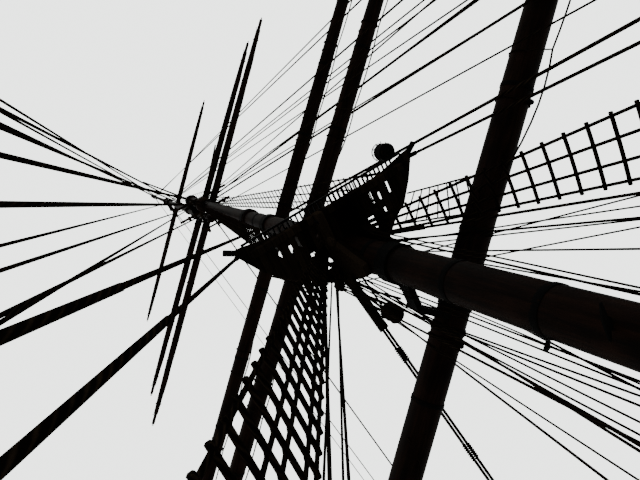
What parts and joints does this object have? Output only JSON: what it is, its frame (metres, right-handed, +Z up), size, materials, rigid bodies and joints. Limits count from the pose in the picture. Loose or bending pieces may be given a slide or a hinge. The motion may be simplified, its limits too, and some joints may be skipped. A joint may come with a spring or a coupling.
{
  "type": "square-rigged ship's mast",
  "caption": "Pole mast of a square-rigged sailing ship with its top, topgallant mast, swivelling and sliding yards, shrouds, backstays and stays.",
  "frame": {"origin": "centre of the mast's heel, on the deck", "axes": "+X forward, +Y to port, +Z up the mast"},
  "size_m": [33.3528, 17.6284, 38.3903],
  "materials": {
    "spar": "weathered dark brown paint, semi-gloss",
    "timber": "dark oiled and tarred planks",
    "ironwork": "black painted iron, worn",
    "tarred_rope": "black tarred and served rope"
  },
  "bodies": {
    "mast": {"lower_mast": "spar", "topgallant_mast": "spar", "truck": "spar", "top_frame": "timber", "top_platform": "timber", "upper_trees": "timber", "shroud_rail_port": "timber", "shroud_rail_starboard": "timber", "top_rail": "ironwork", "top_lamp": "ironwork", "upper_cap": "ironwork", "lower_truss": "ironwork", "lower_topsail_truss": "ironwork", "lower_topgallant_truss": "ironwork", "lower_shrouds_port": "tarred_rope", "lower_shrouds_starboard": "tarred_rope", "topmast_shrouds_port": "tarred_rope", "topmast_shrouds_starboard": "tarred_rope", "topgallant_shrouds_port": "tarred_rope", "topgallant_shrouds_starboard": "tarred_rope", "horn_backstay_port": "tarred_rope", "horn_backstay_starboard": "tarred_rope", "cap_backstay_port": "tarred_rope", "cap_backstay_starboard": "tarred_rope", "topmast_fore_backstay_port": "tarred_rope", "topmast_fore_backstay_starboard": "tarred_rope", "topmast_aft_backstay_port": "tarred_rope", "topmast_aft_backstay_starboard": "tarred_rope", "topgallant_backstay_port": "tarred_rope", "topgallant_backstay_starboard": "tarred_rope", "royal_backstay_port": "tarred_rope", "royal_backstay_starboard": "tarred_rope", "lower_stay": "tarred_rope", "topmast_stay": "tarred_rope", "topgallant_stay": "tarred_rope", "royal_stay": "tarred_rope"},
    "lower_yard": {"lower_yard": "spar"},
    "lower_topsail_yard": {"lower_topsail_yard": "spar"},
    "upper_topsail_parrel": {"upper_topsail_parrel": "ironwork"},
    "upper_topsail_yard": {"upper_topsail_yard": "spar"},
    "lower_topgallant_yard": {"lower_topgallant_yard": "spar"},
    "upper_topgallant_parrel": {"upper_topgallant_parrel": "ironwork"},
    "upper_topgallant_yard": {"upper_topgallant_yard": "spar"},
    "royal_parrel": {"royal_parrel": "ironwork"},
    "royal_yard": {"royal_yard": "spar"}
  },
  "joints": [
    {"name": "lower_yard_brace", "type": "hinge", "parent": "mast", "child": "lower_yard", "pos_m": [0.86, 0, 7.45], "axis": [0, 0, 1], "range_deg": [0, 91.4]},
    {"name": "lower_topsail_yard_brace", "type": "hinge", "parent": "mast", "child": "lower_topsail_yard", "pos_m": [0.962, 0, 13.5], "axis": [0, 0, 1], "range_deg": [0, 89.8]},
    {"name": "upper_topsail_hoist", "type": "slide", "parent": "mast", "child": "upper_topsail_parrel", "axis": [0, 0, 1], "range_m": [0, 3.8]},
    {"name": "upper_topsail_yard_brace", "type": "hinge", "parent": "upper_topsail_parrel", "child": "upper_topsail_yard", "pos_m": [0.837, 0, 15.35], "axis": [0, 0, 1], "range_deg": [0, 91.2]},
    {"name": "lower_topgallant_yard_brace", "type": "hinge", "parent": "mast", "child": "lower_topgallant_yard", "pos_m": [1.05, 0, 24.35], "axis": [0, 0, 1], "range_deg": [0, 92.8]},
    {"name": "upper_topgallant_hoist", "type": "slide", "parent": "mast", "child": "upper_topgallant_parrel", "axis": [0, 0, 1], "range_m": [0, 3.8]},
    {"name": "upper_topgallant_yard_brace", "type": "hinge", "parent": "upper_topgallant_parrel", "child": "upper_topgallant_yard", "pos_m": [1.007, 0, 25.75], "axis": [0, 0, 1], "range_deg": [0, 92]},
    {"name": "royal_hoist", "type": "slide", "parent": "mast", "child": "royal_parrel", "axis": [0, 0, 1], "range_m": [0, 2.7]},
    {"name": "royal_yard_brace", "type": "hinge", "parent": "royal_parrel", "child": "royal_yard", "pos_m": [1.199, 0, 32.6], "axis": [0, 0, 1], "range_deg": [0, 93.6]}
  ]
}
